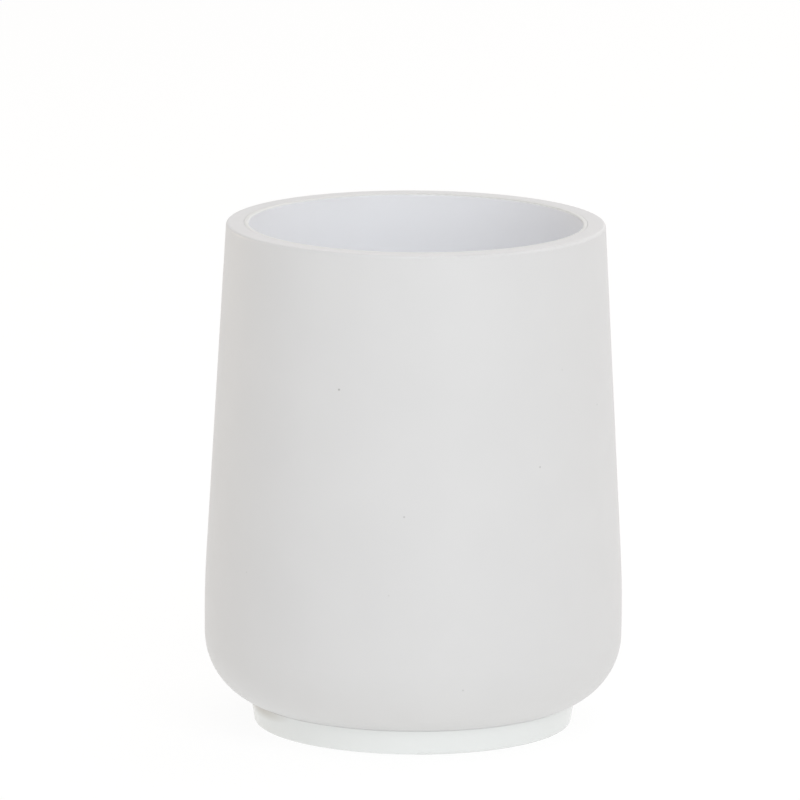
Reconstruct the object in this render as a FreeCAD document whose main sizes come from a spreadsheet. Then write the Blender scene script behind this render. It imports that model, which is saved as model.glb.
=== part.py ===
import FreeCAD, Part
import enum
import math
import os

import Sketcher

# A free-standing bathroom tumbler: a matt body that swells towards its base, a gloss cup set into the body,
# a gloss foot whose spigot sits in a socket under the body, and small rubber pads under the foot.
# The origin is the centre of the resting plane under the pads, and +Z points up the tumbler's axis.

# Driving sizes, in millimetres and degrees. Radii are chained out from the mouth and back in to the foot.
SIZES = {
    "overall_height": 101.0,  # resting plane to rim
    "mouth_diameter": 66.0,  # inside the cup's lip
    "rim_width": 4.5,  # mouth to the outside of the rim
    "rim_edge_round": 0.6,
    "body_swell": 4.0,  # how far the belly stands out past the rim
    "belly_radius": 215.0,  # long curve between the taper and the shoulder
    "belly_rise": 4.0,  # widest ring above the centre of the shoulder's round
    "shoulder_radius": 14.0,
    "underside_trim": 0.85,  # how much of the shoulder's round the flat underside cuts off
    "body_floor": 3.5,  # between the socket and the bore
    "cup_wall": 0.9,
    "cup_lip_land": 0.55,  # flat outside the lip's round
    "cup_draft": 1.5,  # degrees
    "cup_floor": 1.2,
    "cup_corner_round": 6.0,
    "cup_clearance": 0.05,  # room for adhesive around the cup
    "foot_margin": 0.05,  # edge of the flat underside to the outside of the foot
    "foot_height": 4.95,
    "foot_draft": 8.8,  # degrees
    "foot_top_round": 0.15,
    "foot_bottom_round": 0.6,
    "foot_recess_inset": 16.0,  # outside of the foot to the shallow recess under it
    "foot_recess_depth": 1.0,
    "spigot_inset": 8.2,  # outside of the foot to the spigot
    "spigot_height": 2.5,
    "spigot_lead_in": 0.5,
    "spigot_clearance": 0.15,
    "spigot_end_gap": 0.3,
    "pad_diameter": 9.0,
    "pad_thickness": 1.5,
    "pad_proud": 0.5,  # how far the pads stand out below the foot
    "pad_edge_chamfer": 0.25,
    "pad_inset": 9.2,  # outside of the foot to the ring of pads
    "pad_clearance": 0.15,
}
PAD_COUNT = 4
FULL_TURN = 360.0

# Radii and heights worked out from the driving sizes.
RIM_RADIUS = "(Sizes.mouth_diameter / 2 + Sizes.rim_width)"
BODY_RADIUS = f"({RIM_RADIUS} + Sizes.body_swell)"
BELLY_CENTRE = f"(Sizes.belly_radius - {BODY_RADIUS})"  # beyond the axis
BELLY_TO_SHOULDER = "(Sizes.belly_radius - Sizes.shoulder_radius)"  # between their centres
SHOULDER_REACH = f"(sqrt({BELLY_TO_SHOULDER} ^ 2 - Sizes.belly_rise ^ 2) - {BELLY_CENTRE})"
SHOULDER_DROP = "(Sizes.shoulder_radius - Sizes.underside_trim)"
UNDERSIDE_RADIUS = f"({SHOULDER_REACH} + sqrt(Sizes.shoulder_radius ^ 2 - {SHOULDER_DROP} ^ 2))"
FOOT_RADIUS = f"({UNDERSIDE_RADIUS} - Sizes.foot_margin)"
SPIGOT_RADIUS = f"({FOOT_RADIUS} - Sizes.spigot_inset)"
SOCKET_RADIUS = f"({SPIGOT_RADIUS} + Sizes.spigot_clearance)"
RECESS_RADIUS = f"({FOOT_RADIUS} - Sizes.foot_recess_inset)"
PAD_CIRCLE_RADIUS = f"({FOOT_RADIUS} - Sizes.pad_inset)"
PAD_RADIUS = "(Sizes.pad_diameter / 2)"
CUP_RADIUS = "(Sizes.mouth_diameter / 2 + Sizes.cup_wall)"
BORE_RADIUS = f"({CUP_RADIUS} + Sizes.cup_clearance)"
LIP_ROUND = "(Sizes.cup_wall - Sizes.cup_lip_land)"
SEAT_HEIGHT = "(Sizes.pad_proud + Sizes.foot_height)"
SPIGOT_TOP = f"({SEAT_HEIGHT} + Sizes.spigot_height)"
SOCKET_TOP = f"({SPIGOT_TOP} + Sizes.spigot_end_gap)"
CUP_BASE = f"({SOCKET_TOP} + Sizes.body_floor)"
CUP_FLOOR_TOP = f"({CUP_BASE} + Sizes.cup_floor)"
SHOULDER_HEIGHT = f"({SEAT_HEIGHT} + {SHOULDER_DROP})"
WIDEST_HEIGHT = f"({SHOULDER_HEIGHT} + Sizes.belly_rise)"
OUTER_CORNER_ROUND = "(Sizes.cup_corner_round + Sizes.cup_wall)"
CUP_WALL_ANGLE = "90 deg - Sizes.cup_draft * 1 deg"
FOOT_WALL_ANGLE = "90 deg - Sizes.foot_draft * 1 deg"


class Point(enum.IntEnum):
    """The points of a line or arc, as a sketch numbers them."""

    START = 1
    END = 2
    CENTRE = 3


class Axis(enum.IntEnum):
    """A sketch's own axes, as the sketch numbers them."""

    HORIZONTAL = -1
    VERTICAL = -2


ORIGIN = (Axis.HORIZONTAL, Point.START)

doc = FreeCAD.newDocument("bathroom_tumbler")


def fill_sheet():
    """Put the driving sizes in the document's spreadsheet, each under its own alias."""
    sheet = doc.addObject("Spreadsheet::Sheet", "Sizes")
    for row, (name, number) in enumerate(SIZES.items(), start=1):
        sheet.set(f"A{row}", name)
        sheet.set(f"B{row}", str(number))
        sheet.setAlias(f"B{row}", name)
    doc.recompute()
    return sheet


sizes_sheet = fill_sheet()


def worked_out(expression):
    """The present value of an expression on the sheet: millimetres, or radians for an angle."""
    found = sizes_sheet.evalExpression(expression)
    if isinstance(found, FreeCAD.Units.Quantity) and found.Unit == FreeCAD.Units.Angle:
        return found.getValueAs("rad").Value
    return float(found)


class Outline:
    """A closed outline of named lines and arcs, in a sketch on one of its body's origin planes."""

    def __init__(self, body, name, plane="XZ_Plane"):
        self.sketch = body.newObject("Sketcher::SketchObject", name)
        support = next(feature for feature in body.Origin.OriginFeatures if feature.Role == plane)
        self.sketch.AttachmentSupport = [(support, "")]
        self.sketch.MapMode = "FlatFace"
        self.pieces = {}

    def line(self, name, first, last):
        """Add a line between two points, each (distance from the axis, height)."""
        geometry = Part.LineSegment(FreeCAD.Vector(*first, 0), FreeCAD.Vector(*last, 0))
        self.pieces[name] = (self.sketch.addGeometry(geometry, False), Point.START, Point.END)

    def arc(self, name, centre, radius, first, last):
        """Add an arc from one angle to another, in radians, either way round."""
        circle = Part.Circle(FreeCAD.Vector(*centre, 0), FreeCAD.Vector(0, 0, 1), radius)
        geometry = Part.ArcOfCircle(circle, min(first, last), max(first, last))
        ends = (Point.START, Point.END) if first < last else (Point.END, Point.START)
        self.pieces[name] = (self.sketch.addGeometry(geometry, False), *ends)

    def close(self, smooth=()):
        """Join each piece to the next, and the last to the first. One named in smooth leaves tangentially."""
        names = list(self.pieces)
        for name, following in zip(names, names[1:] + names[:1]):
            index, _, leaves = self.pieces[name]
            next_index, enters, _ = self.pieces[following]
            kind = "Tangent" if name in smooth else "Coincident"
            self.sketch.addConstraint(Sketcher.Constraint(kind, index, leaves, next_index, enters))

    def hold(self, kind, *names):
        """Make each named line horizontal or vertical."""
        for name in names:
            self.sketch.addConstraint(Sketcher.Constraint(kind, self.pieces[name][0]))

    def on_axis(self, name):
        """Lay a line along the sketch's vertical axis."""
        index = self.pieces[name][0]
        for point in (Point.START, Point.END):
            self.sketch.addConstraint(Sketcher.Constraint("PointOnObject", index, point, Axis.VERTICAL))

    def measure(self, expression, kind, *where):
        """Add a sized constraint and drive it by an expression on the sheet."""
        index = self.sketch.addConstraint(Sketcher.Constraint(kind, *where, worked_out(expression)))
        self.sketch.setExpression(f"Constraints[{index}]", expression)

    def radius(self, name, expression):
        """Size an arc."""
        self.measure(expression, "Radius", self.pieces[name][0])

    def slope(self, name, expression):
        """Set a line's angle above the horizontal, from its first point to its last."""
        self.measure(expression, "Angle", self.pieces[name][0])

    def reach(self, name, point, expression):
        """Set how far a point lies from the axis."""
        self.measure(expression, "DistanceX", *ORIGIN, self.pieces[name][0], point)

    def height(self, name, point, expression):
        """Set how high a point lies."""
        self.measure(expression, "DistanceY", *ORIGIN, self.pieces[name][0], point)


def new_body(label):
    """A sub-part of its own, named as its file is."""
    body = doc.addObject("PartDesign::Body", label)
    body.Label = label
    return body


def revolve(body, kind, name, outline):
    """Turn an outline about the axis, as added or removed material."""
    feature = body.newObject(f"PartDesign::{kind}", name)
    feature.Profile = outline.sketch
    feature.ReferenceAxis = (outline.sketch, ["V_Axis"])
    feature.Angle = FULL_TURN
    outline.sketch.Visibility = False
    doc.recompute()
    return feature


def body_outline(body):
    """Half the body's outside: flat rim, rounded edge, straight taper, belly, shoulder and flat underside."""
    top = worked_out("Sizes.overall_height")
    seat = worked_out(SEAT_HEIGHT)
    edge = worked_out("Sizes.rim_edge_round")
    belly = worked_out("Sizes.belly_radius")
    shoulder = worked_out("Sizes.shoulder_radius")
    edge_centre = FreeCAD.Vector(worked_out(RIM_RADIUS) - edge, top - edge)
    belly_centre = FreeCAD.Vector(-worked_out(BELLY_CENTRE), worked_out(WIDEST_HEIGHT))
    shoulder_centre = FreeCAD.Vector(worked_out(SHOULDER_REACH), worked_out(SHOULDER_HEIGHT))

    # the taper is the tangent that the rim's edge and the belly share
    between = edge_centre - belly_centre
    taper = math.atan2(between.y, between.x) - math.acos((belly - edge) / between.Length)
    # the shoulder leaves the belly where both point the same way, and the underside trims it
    turn = -math.asin(worked_out("Sizes.belly_rise") / (belly - shoulder))
    trimmed = -math.asin(worked_out(SHOULDER_DROP) / shoulder)

    out = FreeCAD.Vector(math.cos(taper), math.sin(taper))
    wall_top = edge_centre + out * edge
    wall_bottom = belly_centre + out * belly
    underside = worked_out(UNDERSIDE_RADIUS)

    outline = Outline(body, "body_outline")
    outline.line("rim", (0, top), (edge_centre.x, top))
    outline.arc("rim_edge", (edge_centre.x, edge_centre.y), edge, math.pi / 2, taper)
    outline.line("wall", (wall_top.x, wall_top.y), (wall_bottom.x, wall_bottom.y))
    outline.arc("belly", (belly_centre.x, belly_centre.y), belly, taper, turn)
    outline.arc("shoulder", (shoulder_centre.x, shoulder_centre.y), shoulder, turn, trimmed)
    outline.line("underside", (underside, seat), (0, seat))
    outline.line("axis", (0, seat), (0, top))
    outline.close(smooth=("rim", "rim_edge", "wall", "belly"))
    outline.hold("Horizontal", "rim", "underside")
    outline.on_axis("axis")
    outline.height("rim", Point.START, "Sizes.overall_height")
    outline.height("underside", Point.END, SEAT_HEIGHT)
    outline.radius("rim_edge", "Sizes.rim_edge_round")
    outline.reach("rim_edge", Point.CENTRE, f"{RIM_RADIUS} - Sizes.rim_edge_round")
    outline.radius("belly", "Sizes.belly_radius")
    outline.height("belly", Point.CENTRE, WIDEST_HEIGHT)
    # the belly's centre lies beyond the axis, so its distance is measured back to the origin
    belly_centre_point = (outline.pieces["belly"][0], Point.CENTRE)
    outline.measure(BELLY_CENTRE, "DistanceX", *belly_centre_point, *ORIGIN)
    outline.radius("shoulder", "Sizes.shoulder_radius")
    outline.height("shoulder", Point.CENTRE, SHOULDER_HEIGHT)
    return outline


def tapered_well(outline, radius, base, corner):
    """Start an outline with the base, rounded corner and drafted wall that the cup and its bore share.

    The radius is the one at the rim, where the wall ends.
    """
    top = worked_out("Sizes.overall_height")
    wide = worked_out(radius)
    low = worked_out(base)
    bend = worked_out(corner)
    draft = math.pi / 2 - worked_out(CUP_WALL_ANGLE)
    bend_reach = wide - (top - low - bend) * math.tan(draft) - bend / math.cos(draft)
    wall_foot = (bend_reach + bend * math.cos(draft), low + bend - bend * math.sin(draft))
    outline.line("base", (0, low), (bend_reach, low))
    outline.arc("corner", (bend_reach, low + bend), bend, -math.pi / 2, -draft)
    outline.line("wall", wall_foot, (wide, top))


def size_well(outline, radius, base, corner):
    """Drive the lines and the corner of a tapered well."""
    outline.hold("Horizontal", "base")
    outline.height("base", Point.START, base)
    outline.radius("corner", corner)
    outline.slope("wall", CUP_WALL_ANGLE)
    outline.reach("wall", Point.END, radius)
    outline.height("wall", Point.END, "Sizes.overall_height")


def bore_outline(body):
    """Half the bore that holds the cup."""
    well = (BORE_RADIUS, CUP_BASE, f"({OUTER_CORNER_ROUND} + Sizes.cup_clearance)")
    top = worked_out("Sizes.overall_height")
    outline = Outline(body, "bore_outline")
    tapered_well(outline, *well)
    outline.line("mouth", (worked_out(BORE_RADIUS), top), (0, top))
    outline.line("axis", (0, top), (0, worked_out(CUP_BASE)))
    outline.close(smooth=("base", "corner"))
    size_well(outline, *well)
    outline.hold("Horizontal", "mouth")
    outline.on_axis("axis")
    return outline


def socket_outline(body):
    """Half the socket for the foot's spigot."""
    seat = worked_out(SEAT_HEIGHT)
    top = worked_out(SOCKET_TOP)
    wide = worked_out(SOCKET_RADIUS)
    outline = Outline(body, "socket_outline")
    outline.line("mouth", (0, seat), (wide, seat))
    outline.line("side", (wide, seat), (wide, top))
    outline.line("end", (wide, top), (0, top))
    outline.line("axis", (0, top), (0, seat))
    outline.close()
    outline.hold("Horizontal", "mouth", "end")
    outline.hold("Vertical", "side")
    outline.on_axis("axis")
    outline.height("side", Point.START, SEAT_HEIGHT)
    outline.height("side", Point.END, SOCKET_TOP)
    outline.reach("side", Point.START, SOCKET_RADIUS)
    return outline


def make_body():
    """The matt body, with the bore that holds the cup and the socket that holds the foot."""
    body = new_body("outer_body")
    revolve(body, "Revolution", "body_form", body_outline(body))
    solid_volume = body.Shape.Volume
    revolve(body, "Groove", "cup_bore", bore_outline(body))
    bored_volume = body.Shape.Volume
    revolve(body, "Groove", "foot_socket", socket_outline(body))
    if not solid_volume > bored_volume > body.Shape.Volume:
        raise RuntimeError("the bore or the socket cut nothing from the body")
    return body


def cup_outline(body):
    """Half the cup's wall: outside, flat land and rounded lip at the rim, inside and floor."""
    well = (CUP_RADIUS, CUP_BASE, OUTER_CORNER_ROUND)
    top = worked_out("Sizes.overall_height")
    floor = worked_out(CUP_FLOOR_TOP)
    lip = worked_out(LIP_ROUND)
    bend = worked_out("Sizes.cup_corner_round")
    draft = math.pi / 2 - worked_out(CUP_WALL_ANGLE)
    lip_reach = worked_out("Sizes.mouth_diameter / 2") + lip
    lip_end = (lip_reach - lip * math.cos(draft), top - lip + lip * math.sin(draft))
    bend_height = floor + bend
    bend_reach = lip_end[0] - (lip_end[1] - bend_height) * math.tan(draft) - bend / math.cos(draft)
    bend_top = (bend_reach + bend * math.cos(draft), bend_height - bend * math.sin(draft))

    outline = Outline(body, "cup_outline")
    tapered_well(outline, *well)
    outline.line("land", (worked_out(CUP_RADIUS), top), (lip_reach, top))
    outline.arc("lip", (lip_reach, top - lip), lip, math.pi / 2, math.pi - draft)
    outline.line("inside", lip_end, bend_top)
    outline.arc("bend", (bend_reach, bend_height), bend, -draft, -math.pi / 2)
    outline.line("floor", (bend_reach, floor), (0, floor))
    outline.line("axis", (0, floor), (0, worked_out(CUP_BASE)))
    outline.close(smooth=("base", "corner", "land", "lip", "inside", "bend"))
    size_well(outline, *well)
    outline.hold("Horizontal", "land", "floor")
    outline.on_axis("axis")
    outline.radius("lip", LIP_ROUND)
    outline.reach("lip", Point.CENTRE, f"Sizes.mouth_diameter / 2 + {LIP_ROUND}")
    outline.radius("bend", "Sizes.cup_corner_round")
    outline.height("floor", Point.END, CUP_FLOOR_TOP)
    parallel = Sketcher.Constraint("Parallel", outline.pieces["inside"][0], outline.pieces["wall"][0])
    outline.sketch.addConstraint(parallel)
    return outline


def make_cup():
    """The gloss cup that lines the bore and stands on the bore's floor."""
    body = new_body("inner_cup")
    revolve(body, "Revolution", "cup_form", cup_outline(body))
    return body


def foot_outline(body):
    """Half the foot: spigot with a lead-in, ledge, rounded edges, drafted wall and a shallow recess below."""
    low = worked_out("Sizes.pad_proud")
    seat = worked_out(SEAT_HEIGHT)
    spigot = worked_out(SPIGOT_RADIUS)
    spigot_top = worked_out(SPIGOT_TOP)
    lead = worked_out("Sizes.spigot_lead_in")
    upper = worked_out("Sizes.foot_top_round")
    lower = worked_out("Sizes.foot_bottom_round")
    recess = worked_out(RECESS_RADIUS)
    recess_top = low + worked_out("Sizes.foot_recess_depth")
    draft = math.pi / 2 - worked_out(FOOT_WALL_ANGLE)
    upper_centre = (worked_out(FOOT_RADIUS) - upper, seat - upper)
    wall_top = (upper_centre[0] + upper * math.cos(draft), upper_centre[1] - upper * math.sin(draft))
    wall_low = low + lower - lower * math.sin(draft)
    wall_bottom = (wall_top[0] - (wall_top[1] - wall_low) * math.tan(draft), wall_low)
    lower_centre = (wall_bottom[0] - lower * math.cos(draft), low + lower)

    outline = Outline(body, "foot_outline")
    outline.line("recess_end", (0, recess_top), (recess, recess_top))
    outline.line("recess_side", (recess, recess_top), (recess, low))
    outline.line("underside", (recess, low), (lower_centre[0], low))
    outline.arc("lower_edge", lower_centre, lower, -math.pi / 2, -draft)
    outline.line("wall", wall_bottom, wall_top)
    outline.arc("upper_edge", upper_centre, upper, -draft, math.pi / 2)
    outline.line("ledge", (upper_centre[0], seat), (spigot, seat))
    outline.line("spigot_side", (spigot, seat), (spigot, spigot_top - lead))
    outline.line("lead_in", (spigot, spigot_top - lead), (spigot - lead, spigot_top))
    outline.line("spigot_end", (spigot - lead, spigot_top), (0, spigot_top))
    outline.line("axis", (0, spigot_top), (0, recess_top))
    outline.close(smooth=("underside", "lower_edge", "wall", "upper_edge"))
    outline.hold("Horizontal", "recess_end", "underside", "ledge", "spigot_end")
    outline.hold("Vertical", "recess_side", "spigot_side")
    outline.on_axis("axis")
    outline.height("underside", Point.START, "Sizes.pad_proud")
    outline.height("recess_end", Point.START, "Sizes.pad_proud + Sizes.foot_recess_depth")
    outline.reach("recess_side", Point.START, RECESS_RADIUS)
    outline.radius("lower_edge", "Sizes.foot_bottom_round")
    outline.slope("wall", FOOT_WALL_ANGLE)
    outline.radius("upper_edge", "Sizes.foot_top_round")
    outline.reach("upper_edge", Point.CENTRE, f"{FOOT_RADIUS} - Sizes.foot_top_round")
    outline.height("ledge", Point.END, SEAT_HEIGHT)
    outline.reach("spigot_side", Point.START, SPIGOT_RADIUS)
    outline.height("spigot_end", Point.END, SPIGOT_TOP)
    outline.reach("lead_in", Point.END, f"{SPIGOT_RADIUS} - Sizes.spigot_lead_in")
    outline.height("lead_in", Point.START, f"{SPIGOT_TOP} - Sizes.spigot_lead_in")
    return outline


def pad_recess(body):
    """One blind recess under the foot for a pad, cut upwards from the foot's underside."""
    sketch = Outline(body, "pad_recess_circle", "XY_Plane").sketch
    sketch.setExpression("AttachmentOffset.Base.z", "Sizes.pad_proud")
    centre = FreeCAD.Vector(worked_out(PAD_CIRCLE_RADIUS), 0, 0)
    reach = f"{PAD_RADIUS} + Sizes.pad_clearance"
    circle = Part.Circle(centre, FreeCAD.Vector(0, 0, 1), worked_out(reach))
    index = sketch.addGeometry(circle, False)
    sketch.addConstraint(Sketcher.Constraint("PointOnObject", index, Point.CENTRE, Axis.HORIZONTAL))
    spacing = Sketcher.Constraint("DistanceX", *ORIGIN, index, Point.CENTRE, worked_out(PAD_CIRCLE_RADIUS))
    sketch.setExpression(f"Constraints[{sketch.addConstraint(spacing)}]", PAD_CIRCLE_RADIUS)
    radius = Sketcher.Constraint("Radius", index, worked_out(reach))
    sketch.setExpression(f"Constraints[{sketch.addConstraint(radius)}]", reach)
    recess = body.newObject("PartDesign::Pocket", "pad_recess")
    recess.Profile = sketch
    recess.setExpression("Length", "Sizes.pad_thickness - Sizes.pad_proud")
    recess.Reversed = True
    doc.recompute()
    return recess


def make_foot():
    """The gloss foot, with its spigot and a ring of recesses for the pads."""
    body = new_body("foot_plinth")
    revolve(body, "Revolution", "foot_form", foot_outline(body))
    whole_volume = body.Shape.Volume
    recess = pad_recess(body)
    one_recess = whole_volume - body.Shape.Volume
    ring = body.newObject("PartDesign::PolarPattern", "pad_recesses")
    ring.Originals = [recess]
    ring.Axis = (recess.Profile[0], ["N_Axis"])
    ring.Angle = FULL_TURN
    ring.Occurrences = PAD_COUNT
    body.Tip = ring
    doc.recompute()
    all_recesses = whole_volume - body.Shape.Volume
    if one_recess <= 0 or not math.isclose(all_recesses, PAD_COUNT * one_recess, rel_tol=1e-6):
        raise RuntimeError("the ring of pad recesses isn't whole")
    return body


def make_pad(number):
    """One rubber pad, a disc with a bevelled lower edge, standing in its recess."""
    body = new_body(f"non_slip_pad_{number}")
    wide = worked_out(PAD_RADIUS)
    tall = worked_out("Sizes.pad_thickness")
    bevel = worked_out("Sizes.pad_edge_chamfer")
    outline = Outline(body, f"pad_outline_{number}")
    outline.line("underside", (0, 0), (wide - bevel, 0))
    outline.line("edge", (wide - bevel, 0), (wide, bevel))
    outline.line("side", (wide, bevel), (wide, tall))
    outline.line("upper", (wide, tall), (0, tall))
    outline.line("axis", (0, tall), (0, 0))
    outline.close()
    outline.hold("Horizontal", "underside", "upper")
    outline.hold("Vertical", "side", "axis")
    start_of_underside = (outline.pieces["underside"][0], Point.START)
    outline.sketch.addConstraint(Sketcher.Constraint("Coincident", *start_of_underside, *ORIGIN))
    outline.reach("underside", Point.END, f"{PAD_RADIUS} - Sizes.pad_edge_chamfer")
    outline.height("side", Point.START, "Sizes.pad_edge_chamfer")
    outline.reach("side", Point.END, PAD_RADIUS)
    outline.height("side", Point.END, "Sizes.pad_thickness")
    revolve(body, "Revolution", f"pad_form_{number}", outline)
    turn = (number - 1) * FULL_TURN / PAD_COUNT
    body.setExpression("Placement.Base.x", f"{PAD_CIRCLE_RADIUS} * cos({turn} deg)")
    body.setExpression("Placement.Base.y", f"{PAD_CIRCLE_RADIUS} * sin({turn} deg)")
    return body


def check_document(parts):
    """Stop before anything is written if a feature failed, a sketch is loose or a shape isn't one solid."""
    for thing in doc.Objects:
        if {"Invalid", "Error"} & set(thing.State):
            raise RuntimeError(f"{thing.Label} failed: {thing.State}")
        if thing.isDerivedFrom("Sketcher::SketchObject") and not thing.FullyConstrained:
            raise RuntimeError(f"the sketch {thing.Label} isn't fully constrained")
    for part in parts:
        if part.Shape.isNull() or not part.Shape.isValid() or len(part.Shape.Solids) != 1:
            raise RuntimeError(f"{part.Label} isn't one valid solid")


def main():
    """Build the sub-parts, check them and write one file for each."""
    parts = [make_body(), make_cup(), make_foot()]
    parts += [make_pad(number) for number in range(1, PAD_COUNT + 1)]
    doc.recompute()
    check_document(parts)
    os.makedirs("parts", exist_ok=True)
    for part in parts:
        part.Shape.exportStep(f"parts/{part.Label}.step")
        print(f"{part.Label}: {part.Shape.Volume / 1000:.2f} cubic centimetres")


main()
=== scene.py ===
import math
import random
from typing import NamedTuple

import bpy
from mathutils import Matrix, Vector


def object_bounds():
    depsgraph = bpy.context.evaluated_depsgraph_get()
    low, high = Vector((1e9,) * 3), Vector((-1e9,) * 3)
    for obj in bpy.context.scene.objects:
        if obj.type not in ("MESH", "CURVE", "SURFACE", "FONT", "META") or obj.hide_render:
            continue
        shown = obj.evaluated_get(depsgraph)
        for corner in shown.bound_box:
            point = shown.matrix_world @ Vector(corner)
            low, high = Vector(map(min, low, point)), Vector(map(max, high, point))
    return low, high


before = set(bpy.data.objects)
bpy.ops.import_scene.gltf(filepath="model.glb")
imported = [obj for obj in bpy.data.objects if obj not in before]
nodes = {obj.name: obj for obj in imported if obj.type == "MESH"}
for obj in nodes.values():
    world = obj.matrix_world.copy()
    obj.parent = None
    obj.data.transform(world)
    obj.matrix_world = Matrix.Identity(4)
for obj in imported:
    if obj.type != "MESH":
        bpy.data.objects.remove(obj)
cad_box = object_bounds()

# Lengths are in metres where no other unit is named. Azimuths are seen from above: 0 is the front, where the
# camera stands, and 90 the right.
MILLIMETRE = 0.001
RIM_HEIGHT = cad_box[1][2]

# The camera: a long lens far in front of the tumbler, a little above it.
IMAGE_WIDTH_PX = 800
SENSOR_WIDTH_MM = 36.0
FOCAL_LENGTH_PX = 9305.0
CAMERA_DISTANCE = 1.846
CAMERA_ELEVATION = 11.57
CAMERA_ROLL = 0.40
CAMERA_REACH = 20.0  # how far off it still sees things
LOOKED_AT = Vector((0.0, 0.0, RIM_HEIGHT / 2))
# where the point looked at lies in the picture
LOOKED_AT_PX = (414.2, 473.1)

# The stage: a round white floor, and soft light from lamps and sky.
FLOOR_RADIUS = 6.0
FLOOR_SEGMENTS = 64
# the floor is a light table, which gives light of its own and bounces some
FLOOR_LIGHT = (0.74, 0.74, 0.71)
FLOOR_BOUNCE = (0.30, 0.30, 0.30)
# what the camera sees of the floor: mostly a glow, and a share of the light there, for the shadow
FLOOR_GLOW = (0.87, 0.87, 0.87)
FLOOR_SHARE = (0.15, 0.15, 0.15)
SKY_COLOUR = (1.0, 0.96, 0.92)
SKY_STRENGTH = 0.53

# Each lamp is a square panel that faces the tumbler: azimuth and elevation in degrees, width, power in watts
# and colour.
LAMP_DISTANCE = 1.2
LAMPS = {
    "front_low": (32.0, 22.0, 0.7, 2.72, (0.935, 0.98, 1.0)),
    "front_high": (0.0, 45.0, 1.3, 4.6, (0.935, 0.98, 1.0)),
    "left_low": (-60.0, 8.0, 0.3, 0.5, (0.97, 0.99, 1.0)),
    "overhead": (0.0, 89.9, 0.9, 1.0, (1.0, 1.0, 1.0)),
    "right_rim": (135.0, 45.0, 1.5, 5.1, (1.0, 0.965, 0.925)),
    "left_rim": (-130.0, 8.0, 0.3, 1.0, (1.0, 0.82, 0.55)),
}


class Surface(NamedTuple):
    """How a material looks where nothing special is on it. Each size is that of a noise's patches."""

    tones: tuple  # two colours, with clouds of every mix between them
    cloud_size: float
    grain_size: float
    grain_detail: float
    grain_depth: float
    roughness: tuple  # the least and the most
    gloss_size: float


BODY_SURFACE = Surface(
    tones=((0.654, 0.652, 0.665), (0.670, 0.668, 0.681)),
    cloud_size=14 * MILLIMETRE,
    grain_size=0.45 * MILLIMETRE,
    grain_detail=3.0,
    grain_depth=0.012 * MILLIMETRE,
    roughness=(0.39, 0.46),
    gloss_size=3 * MILLIMETRE,
)
CUP_SURFACE = Surface(
    tones=((0.890, 0.898, 0.928), (0.904, 0.912, 0.942)),
    cloud_size=18 * MILLIMETRE,
    grain_size=2.5 * MILLIMETRE,
    grain_detail=2.0,
    grain_depth=0.004 * MILLIMETRE,
    roughness=(0.29, 0.36),
    gloss_size=6 * MILLIMETRE,
)
FOOT_SURFACE = Surface(
    tones=((0.780, 0.798, 0.806), (0.794, 0.812, 0.820)),
    cloud_size=10 * MILLIMETRE,
    grain_size=2.0 * MILLIMETRE,
    grain_detail=2.0,
    grain_depth=0.004 * MILLIMETRE,
    roughness=(0.20, 0.26),
    gloss_size=4 * MILLIMETRE,
)
PAD_SURFACE = Surface(
    tones=((0.60, 0.60, 0.59), (0.64, 0.64, 0.63)),
    cloud_size=2 * MILLIMETRE,
    grain_size=0.3 * MILLIMETRE,
    grain_detail=3.0,
    grain_depth=0.02 * MILLIMETRE,
    roughness=(0.72, 0.86),
    gloss_size=1 * MILLIMETRE,
)
SOFT_DETAIL = 2.0  # of the noise behind clouds and gloss
NOISE_RANGE = (0.25, 0.75)  # where nearly all of a noise lies

# Dark pinholes in the body's cast surface: azimuth in degrees, height and radius in millimetres, and depth
# of tone.
PINHOLES = [
    (-22.2, 74.3, 0.22, 0.55),
    (38.0, 58.3, 0.20, 0.42),
    (-2.7, 50.0, 0.20, 0.36),
    (13.8, 15.5, 0.20, 0.25),
    (65.7, 67.8, 0.20, 0.22),
    (-6.7, 34.5, 0.18, 0.15),
    (47.8, 76.6, 0.18, 0.15),
    (-52.8, 35.5, 0.18, 0.15),
]
PINHOLE_COLOUR = (0.10, 0.095, 0.09)
# the shares of its radius between which a pinhole fades out
PINHOLE_FADE = (0.3, 1.3)
# more of them at random on the side that the photograph doesn't show
UNSEEN_PINHOLES = 9
UNSEEN_AZIMUTHS = (90.0, 270.0)
UNSEEN_HEIGHTS = (12.0, 90.0)
UNSEEN_RADIUS = 0.2
UNSEEN_DEPTHS = (0.1, 0.4)
PINHOLE_SEED = 4

# A faint shadow painted on the foot beside the joint, where the body's overhang shades it: its middle's
# azimuth in degrees, height and distance from the axis in millimetres, and how far it reaches along the
# joint, in and out, and up and down.
PAINTED_SHADOW = (-72.0, 5.2, 32.0, (14.0, 6.0, 2.1))
# the colour of the painted shadow
PAINTED_SHADOW_COLOUR = (0.560, 0.545, 0.515)
# the shares of its reach between which the painted shadow fades out
PAINTED_SHADOW_FADE = (0.25, 1.0)

# The cup's tone turns to one like the body's at its lip, between two heights just under the rim.
LIP_BLEND = (RIM_HEIGHT - 0.4 * MILLIMETRE, RIM_HEIGHT - 0.1 * MILLIMETRE)
LIP_COLOUR = (0.670, 0.670, 0.667)


def direction(azimuth, elevation):
    """The unit vector from the tumbler towards an azimuth and elevation in degrees."""
    around, up = math.radians(azimuth), math.radians(elevation)
    return Vector((math.sin(around) * math.cos(up), -math.cos(around) * math.cos(up), math.sin(up)))


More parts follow.
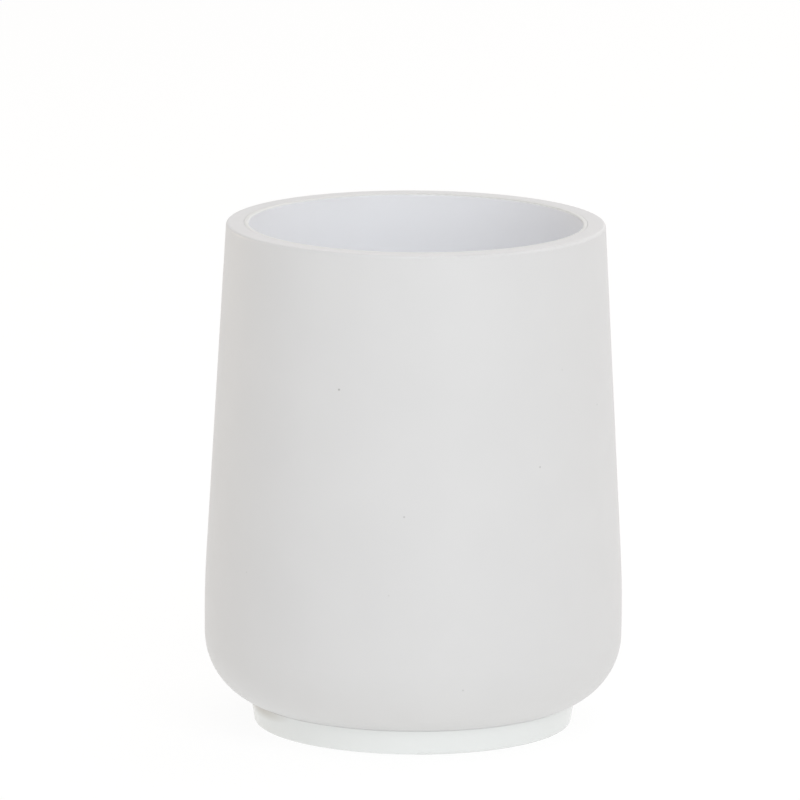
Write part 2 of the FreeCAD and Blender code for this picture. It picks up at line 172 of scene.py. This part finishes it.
def add_camera():
    """Put the camera at the photograph's viewing angle and framing."""
    data = bpy.data.cameras.new("camera")
    data.sensor_width = SENSOR_WIDTH_MM
    data.lens = FOCAL_LENGTH_PX / IMAGE_WIDTH_PX * SENSOR_WIDTH_MM
    data.clip_end = CAMERA_REACH
    camera = bpy.data.objects.new("camera", data)
    bpy.context.scene.collection.objects.link(camera)
    back = direction(0.0, CAMERA_ELEVATION)
    # turn the lens so that the point looked at lands off the picture's centre
    centre = IMAGE_WIDTH_PX / 2
    aside = math.atan((LOOKED_AT_PX[0] - centre) / FOCAL_LENGTH_PX)
    down = math.atan((LOOKED_AT_PX[1] - centre) / FOCAL_LENGTH_PX)
    facing = (-back).to_track_quat("-Z", "Y").to_matrix().to_4x4()
    offset = Matrix.Rotation(aside, 4, "Y") @ Matrix.Rotation(down, 4, "X")
    roll = Matrix.Rotation(math.radians(CAMERA_ROLL), 4, "Z")
    place = Matrix.Translation(LOOKED_AT + back * CAMERA_DISTANCE)
    camera.matrix_world = place @ facing @ roll @ offset
    bpy.context.scene.camera = camera


def seen_directly(tree):
    """A factor that is 1 for what the camera sees straight, in a reflection or through glass, and else 0."""
    path = tree.nodes.new("ShaderNodeLightPath")
    factor = path.outputs["Is Camera Ray"]
    for ray in ("Is Glossy Ray", "Is Transmission Ray"):
        either = tree.nodes.new("ShaderNodeMath")
        either.operation = "MAXIMUM"
        tree.links.new(factor, either.inputs[0])
        tree.links.new(path.outputs[ray], either.inputs[1])
        factor = either.outputs[0]
    return factor


def mix_by_ray(tree, lighting, seen, output):
    """Send one shader to the output for the light that it gives, and another for how it looks."""
    mix = tree.nodes.new("ShaderNodeMixShader")
    tree.links.new(seen_directly(tree), mix.inputs[0])
    tree.links.new(lighting.outputs[0], mix.inputs[1])
    tree.links.new(seen.outputs[0], mix.inputs[2])
    tree.links.new(mix.outputs[0], output.inputs["Surface"])


def add_sky():
    """A white backdrop that lights the tumbler softly from all round."""
    world = bpy.data.worlds.new("sky")
    world.use_nodes = True
    tree = world.node_tree
    lighting = tree.nodes["Background"]
    lighting.inputs["Color"].default_value = (*SKY_COLOUR, 1.0)
    lighting.inputs["Strength"].default_value = SKY_STRENGTH
    seen = tree.nodes.new("ShaderNodeBackground")
    seen.inputs["Color"].default_value = (1.0, 1.0, 1.0, 1.0)
    mix_by_ray(tree, lighting, seen, tree.nodes["World Output"])
    bpy.context.scene.world = world


def glowing_board(tree, colour, glow):
    """A matt surface of a colour, with a glow of its own in another."""
    matt = tree.nodes.new("ShaderNodeBsdfDiffuse")
    matt.inputs["Color"].default_value = (*colour, 1.0)
    lit = tree.nodes.new("ShaderNodeEmission")
    lit.inputs["Color"].default_value = (*glow, 1.0)
    both = tree.nodes.new("ShaderNodeAddShader")
    tree.links.new(matt.outputs[0], both.inputs[0])
    tree.links.new(lit.outputs[0], both.inputs[1])
    return both


def floor_material():
    """White glass lit from below, which bounces light and looks all but white where no shadow falls."""
    material = bpy.data.materials.new("light_table")
    material.use_nodes = True
    tree = material.node_tree
    tree.nodes.remove(tree.nodes["Principled BSDF"])
    lighting = glowing_board(tree, FLOOR_BOUNCE, FLOOR_LIGHT)
    seen = glowing_board(tree, FLOOR_SHARE, FLOOR_GLOW)
    mix_by_ray(tree, lighting, seen, tree.nodes["Material Output"])
    return material


def add_floor():
    """A round floor at the height of the pads' undersides."""
    ring = [math.tau * step / FLOOR_SEGMENTS for step in range(FLOOR_SEGMENTS)]
    corners = [(FLOOR_RADIUS * math.cos(turn), FLOOR_RADIUS * math.sin(turn), 0.0) for turn in ring]
    mesh = bpy.data.meshes.new("floor")
    mesh.from_pydata(corners, [], [range(FLOOR_SEGMENTS)])
    mesh.materials.append(floor_material())
    floor = bpy.data.objects.new("floor", mesh)
    bpy.context.scene.collection.objects.link(floor)


def add_lamp(name, azimuth, elevation, width, power, colour):
    """A square soft panel that faces the tumbler and isn't seen itself."""
    data = bpy.data.lights.new(name, "AREA")
    data.size = width
    data.energy = power
    data.color = colour
    lamp = bpy.data.objects.new(name, data)
    bpy.context.scene.collection.objects.link(lamp)
    towards = direction(azimuth, elevation)
    lamp.location = LOOKED_AT + towards * LAMP_DISTANCE
    lamp.rotation_mode = "QUATERNION"
    lamp.rotation_quaternion = towards.to_track_quat("Z", "Y")
    lamp.visible_camera = False


class Finish:
    """A material in the making: its nodes, its shader and the place on the tumbler of each point."""

    def __init__(self, name, surface):
        self.surface = surface
        self.material = bpy.data.materials.new(name)
        self.material.use_nodes = True
        self.tree = self.material.node_tree
        self.shader = self.tree.nodes["Principled BSDF"]
        self.place = self.add("ShaderNodeTexCoord").outputs["Object"]

    def add(self, kind, inputs=None, **settings):
        """Add a node; its inputs, by name or number, take plain values or other nodes' outputs."""
        node = self.tree.nodes.new(kind)
        for name, value in settings.items():
            setattr(node, name, value)
        for name, value in (inputs or {}).items():
            self.feed(node.inputs[name], value)
        return node

    def feed(self, socket, value):
        """Set a socket to a plain value, or link another node's output to it."""
        if isinstance(value, bpy.types.NodeSocket):
            self.tree.links.new(value, socket)
        else:
            socket.default_value = value

    def noise(self, size, detail=SOFT_DETAIL):
        """Soft random variation from 0 to 1 whose patches are about the given size."""
        node = self.add("ShaderNodeTexNoise", {"Vector": self.place, "Scale": 1.0 / size, "Detail": detail})
        return node.outputs["Fac"]

    def spread(self, factor, low, high, start=NOISE_RANGE[0], end=NOISE_RANGE[1]):
        """Stretch a factor so that start to end becomes low to high."""
        inputs = {"Value": factor, "From Min": start, "From Max": end, "To Min": low, "To Max": high}
        return self.add("ShaderNodeMapRange", inputs).outputs["Result"]

    def tint(self, factor, first, second):
        """Blend two colours, each plain or another node's output."""
        node = self.add("ShaderNodeMix", data_type="RGBA")
        factor_socket, first_socket, second_socket = node.inputs[0], node.inputs[6], node.inputs[7]
        self.feed(factor_socket, factor)
        for socket, colour in ((first_socket, first), (second_socket, second)):
            self.feed(socket, colour if isinstance(colour, bpy.types.NodeSocket) else (*colour, 1.0))
        return node.outputs[2]

    def clouds(self):
        """The surface's own colour, in faint clouds."""
        return self.tint(self.spread(self.noise(self.surface.cloud_size), 0.0, 1.0), *self.surface.tones)

    def complete(self, colour):
        """Give the shader a colour and the surface's grain and gloss."""
        height = self.noise(self.surface.grain_size, self.surface.grain_detail)
        inputs = {"Height": height, "Distance": self.surface.grain_depth, "Strength": 1.0}
        grain = self.add("ShaderNodeBump", inputs).outputs["Normal"]
        roughness = self.spread(self.noise(self.surface.gloss_size), *self.surface.roughness)
        for name, value in (("Base Color", colour), ("Roughness", roughness), ("Normal", grain)):
            self.feed(self.shader.inputs[name], value)
        return self.material


def on_outside(azimuth, height):
    """The point of the body's outside at an azimuth and height, in the body's own coordinates."""
    out = direction(azimuth, 0.0)
    axis_point = Vector((0.0, 0.0, height * MILLIMETRE))
    return nodes["outer_body"].ray_cast(axis_point + out, -out)[1]


def pinholes(finish):
    """A factor that is above 0 in the body's dark pinholes, and else 0."""
    scatter = random.Random(PINHOLE_SEED)
    unseen = []
    for _ in range(UNSEEN_PINHOLES):
        place = scatter.uniform(*UNSEEN_AZIMUTHS), scatter.uniform(*UNSEEN_HEIGHTS)
        unseen.append((*place, UNSEEN_RADIUS, scatter.uniform(*UNSEEN_DEPTHS)))
    factor = 0.0
    for azimuth, height, radius, depth in PINHOLES + unseen:
        inputs = {0: finish.place, 1: on_outside(azimuth, height)}
        away = finish.add("ShaderNodeVectorMath", inputs, operation="DISTANCE").outputs["Value"]
        fade = [share * radius * MILLIMETRE for share in PINHOLE_FADE]
        hole = finish.spread(away, depth, 0.0, *fade)
        factor = finish.add("ShaderNodeMath", {0: factor, 1: hole}, operation="MAXIMUM").outputs[0]
    return factor


def body_material():
    """Matt cast body: fine grain, faint clouds of tone and a few dark pinholes."""
    finish = Finish("body_matt_cast", BODY_SURFACE)
    return finish.complete(finish.tint(pinholes(finish), finish.clouds(), PINHOLE_COLOUR))


def cup_material():
    """Smooth moulded cup: a cooler white with a soft gloss and a faint ripple."""
    finish = Finish("cup_gloss_moulded", CUP_SURFACE)
    height = finish.add("ShaderNodeSeparateXYZ", {"Vector": finish.place}).outputs["Z"]
    lip = finish.spread(height, 0.0, 1.0, *LIP_BLEND)
    return finish.complete(finish.tint(lip, finish.clouds(), LIP_COLOUR))


def joint_painted_shadow(finish):
    """A factor that rises from 0 to 1 in a soft streak of painted shadow along the top of the foot, under
    the body's overhang.
    """
    azimuth, height, radius, size = PAINTED_SHADOW
    inputs = {
        "Vector": finish.place,
        "Location": MILLIMETRE * (direction(azimuth, 0.0) * radius + Vector((0.0, 0.0, height))),
        "Rotation": (0.0, 0.0, math.radians(azimuth)),
        "Scale": MILLIMETRE * Vector(size),
    }
    local = finish.add("ShaderNodeMapping", inputs, vector_type="TEXTURE").outputs["Vector"]
    away = finish.add("ShaderNodeVectorMath", {0: local}, operation="LENGTH").outputs["Value"]
    return finish.spread(away, 1.0, 0.0, *PAINTED_SHADOW_FADE)


def foot_material():
    """Gloss moulded foot, with a shadow painted by the joint under the body's overhang."""
    finish = Finish("foot_gloss_moulded", FOOT_SURFACE)
    # the foot's own tone, darkened by the painted shadow at the joint
    return finish.complete(finish.tint(joint_painted_shadow(finish), finish.clouds(), PAINTED_SHADOW_COLOUR))


def pad_material():
    """Soft pale rubber with a fine moulded grain."""
    finish = Finish("pad_rubber_soft", PAD_SURFACE)
    return finish.complete(finish.clouds())


def dress():
    """Give each of the tumbler's pieces its finish."""
    finishes = {"outer_body": body_material(), "inner_cup": cup_material(), "foot_plinth": foot_material()}
    rubber = pad_material()
    for name, piece in nodes.items():
        for slot in piece.material_slots:
            slot.material = finishes.get(name, rubber)


add_camera()
add_sky()
add_floor()
for lamp_name, lamp_setting in LAMPS.items():
    add_lamp(lamp_name, *lamp_setting)
dress()

bpy.context.scene.view_settings.view_transform = "Standard"
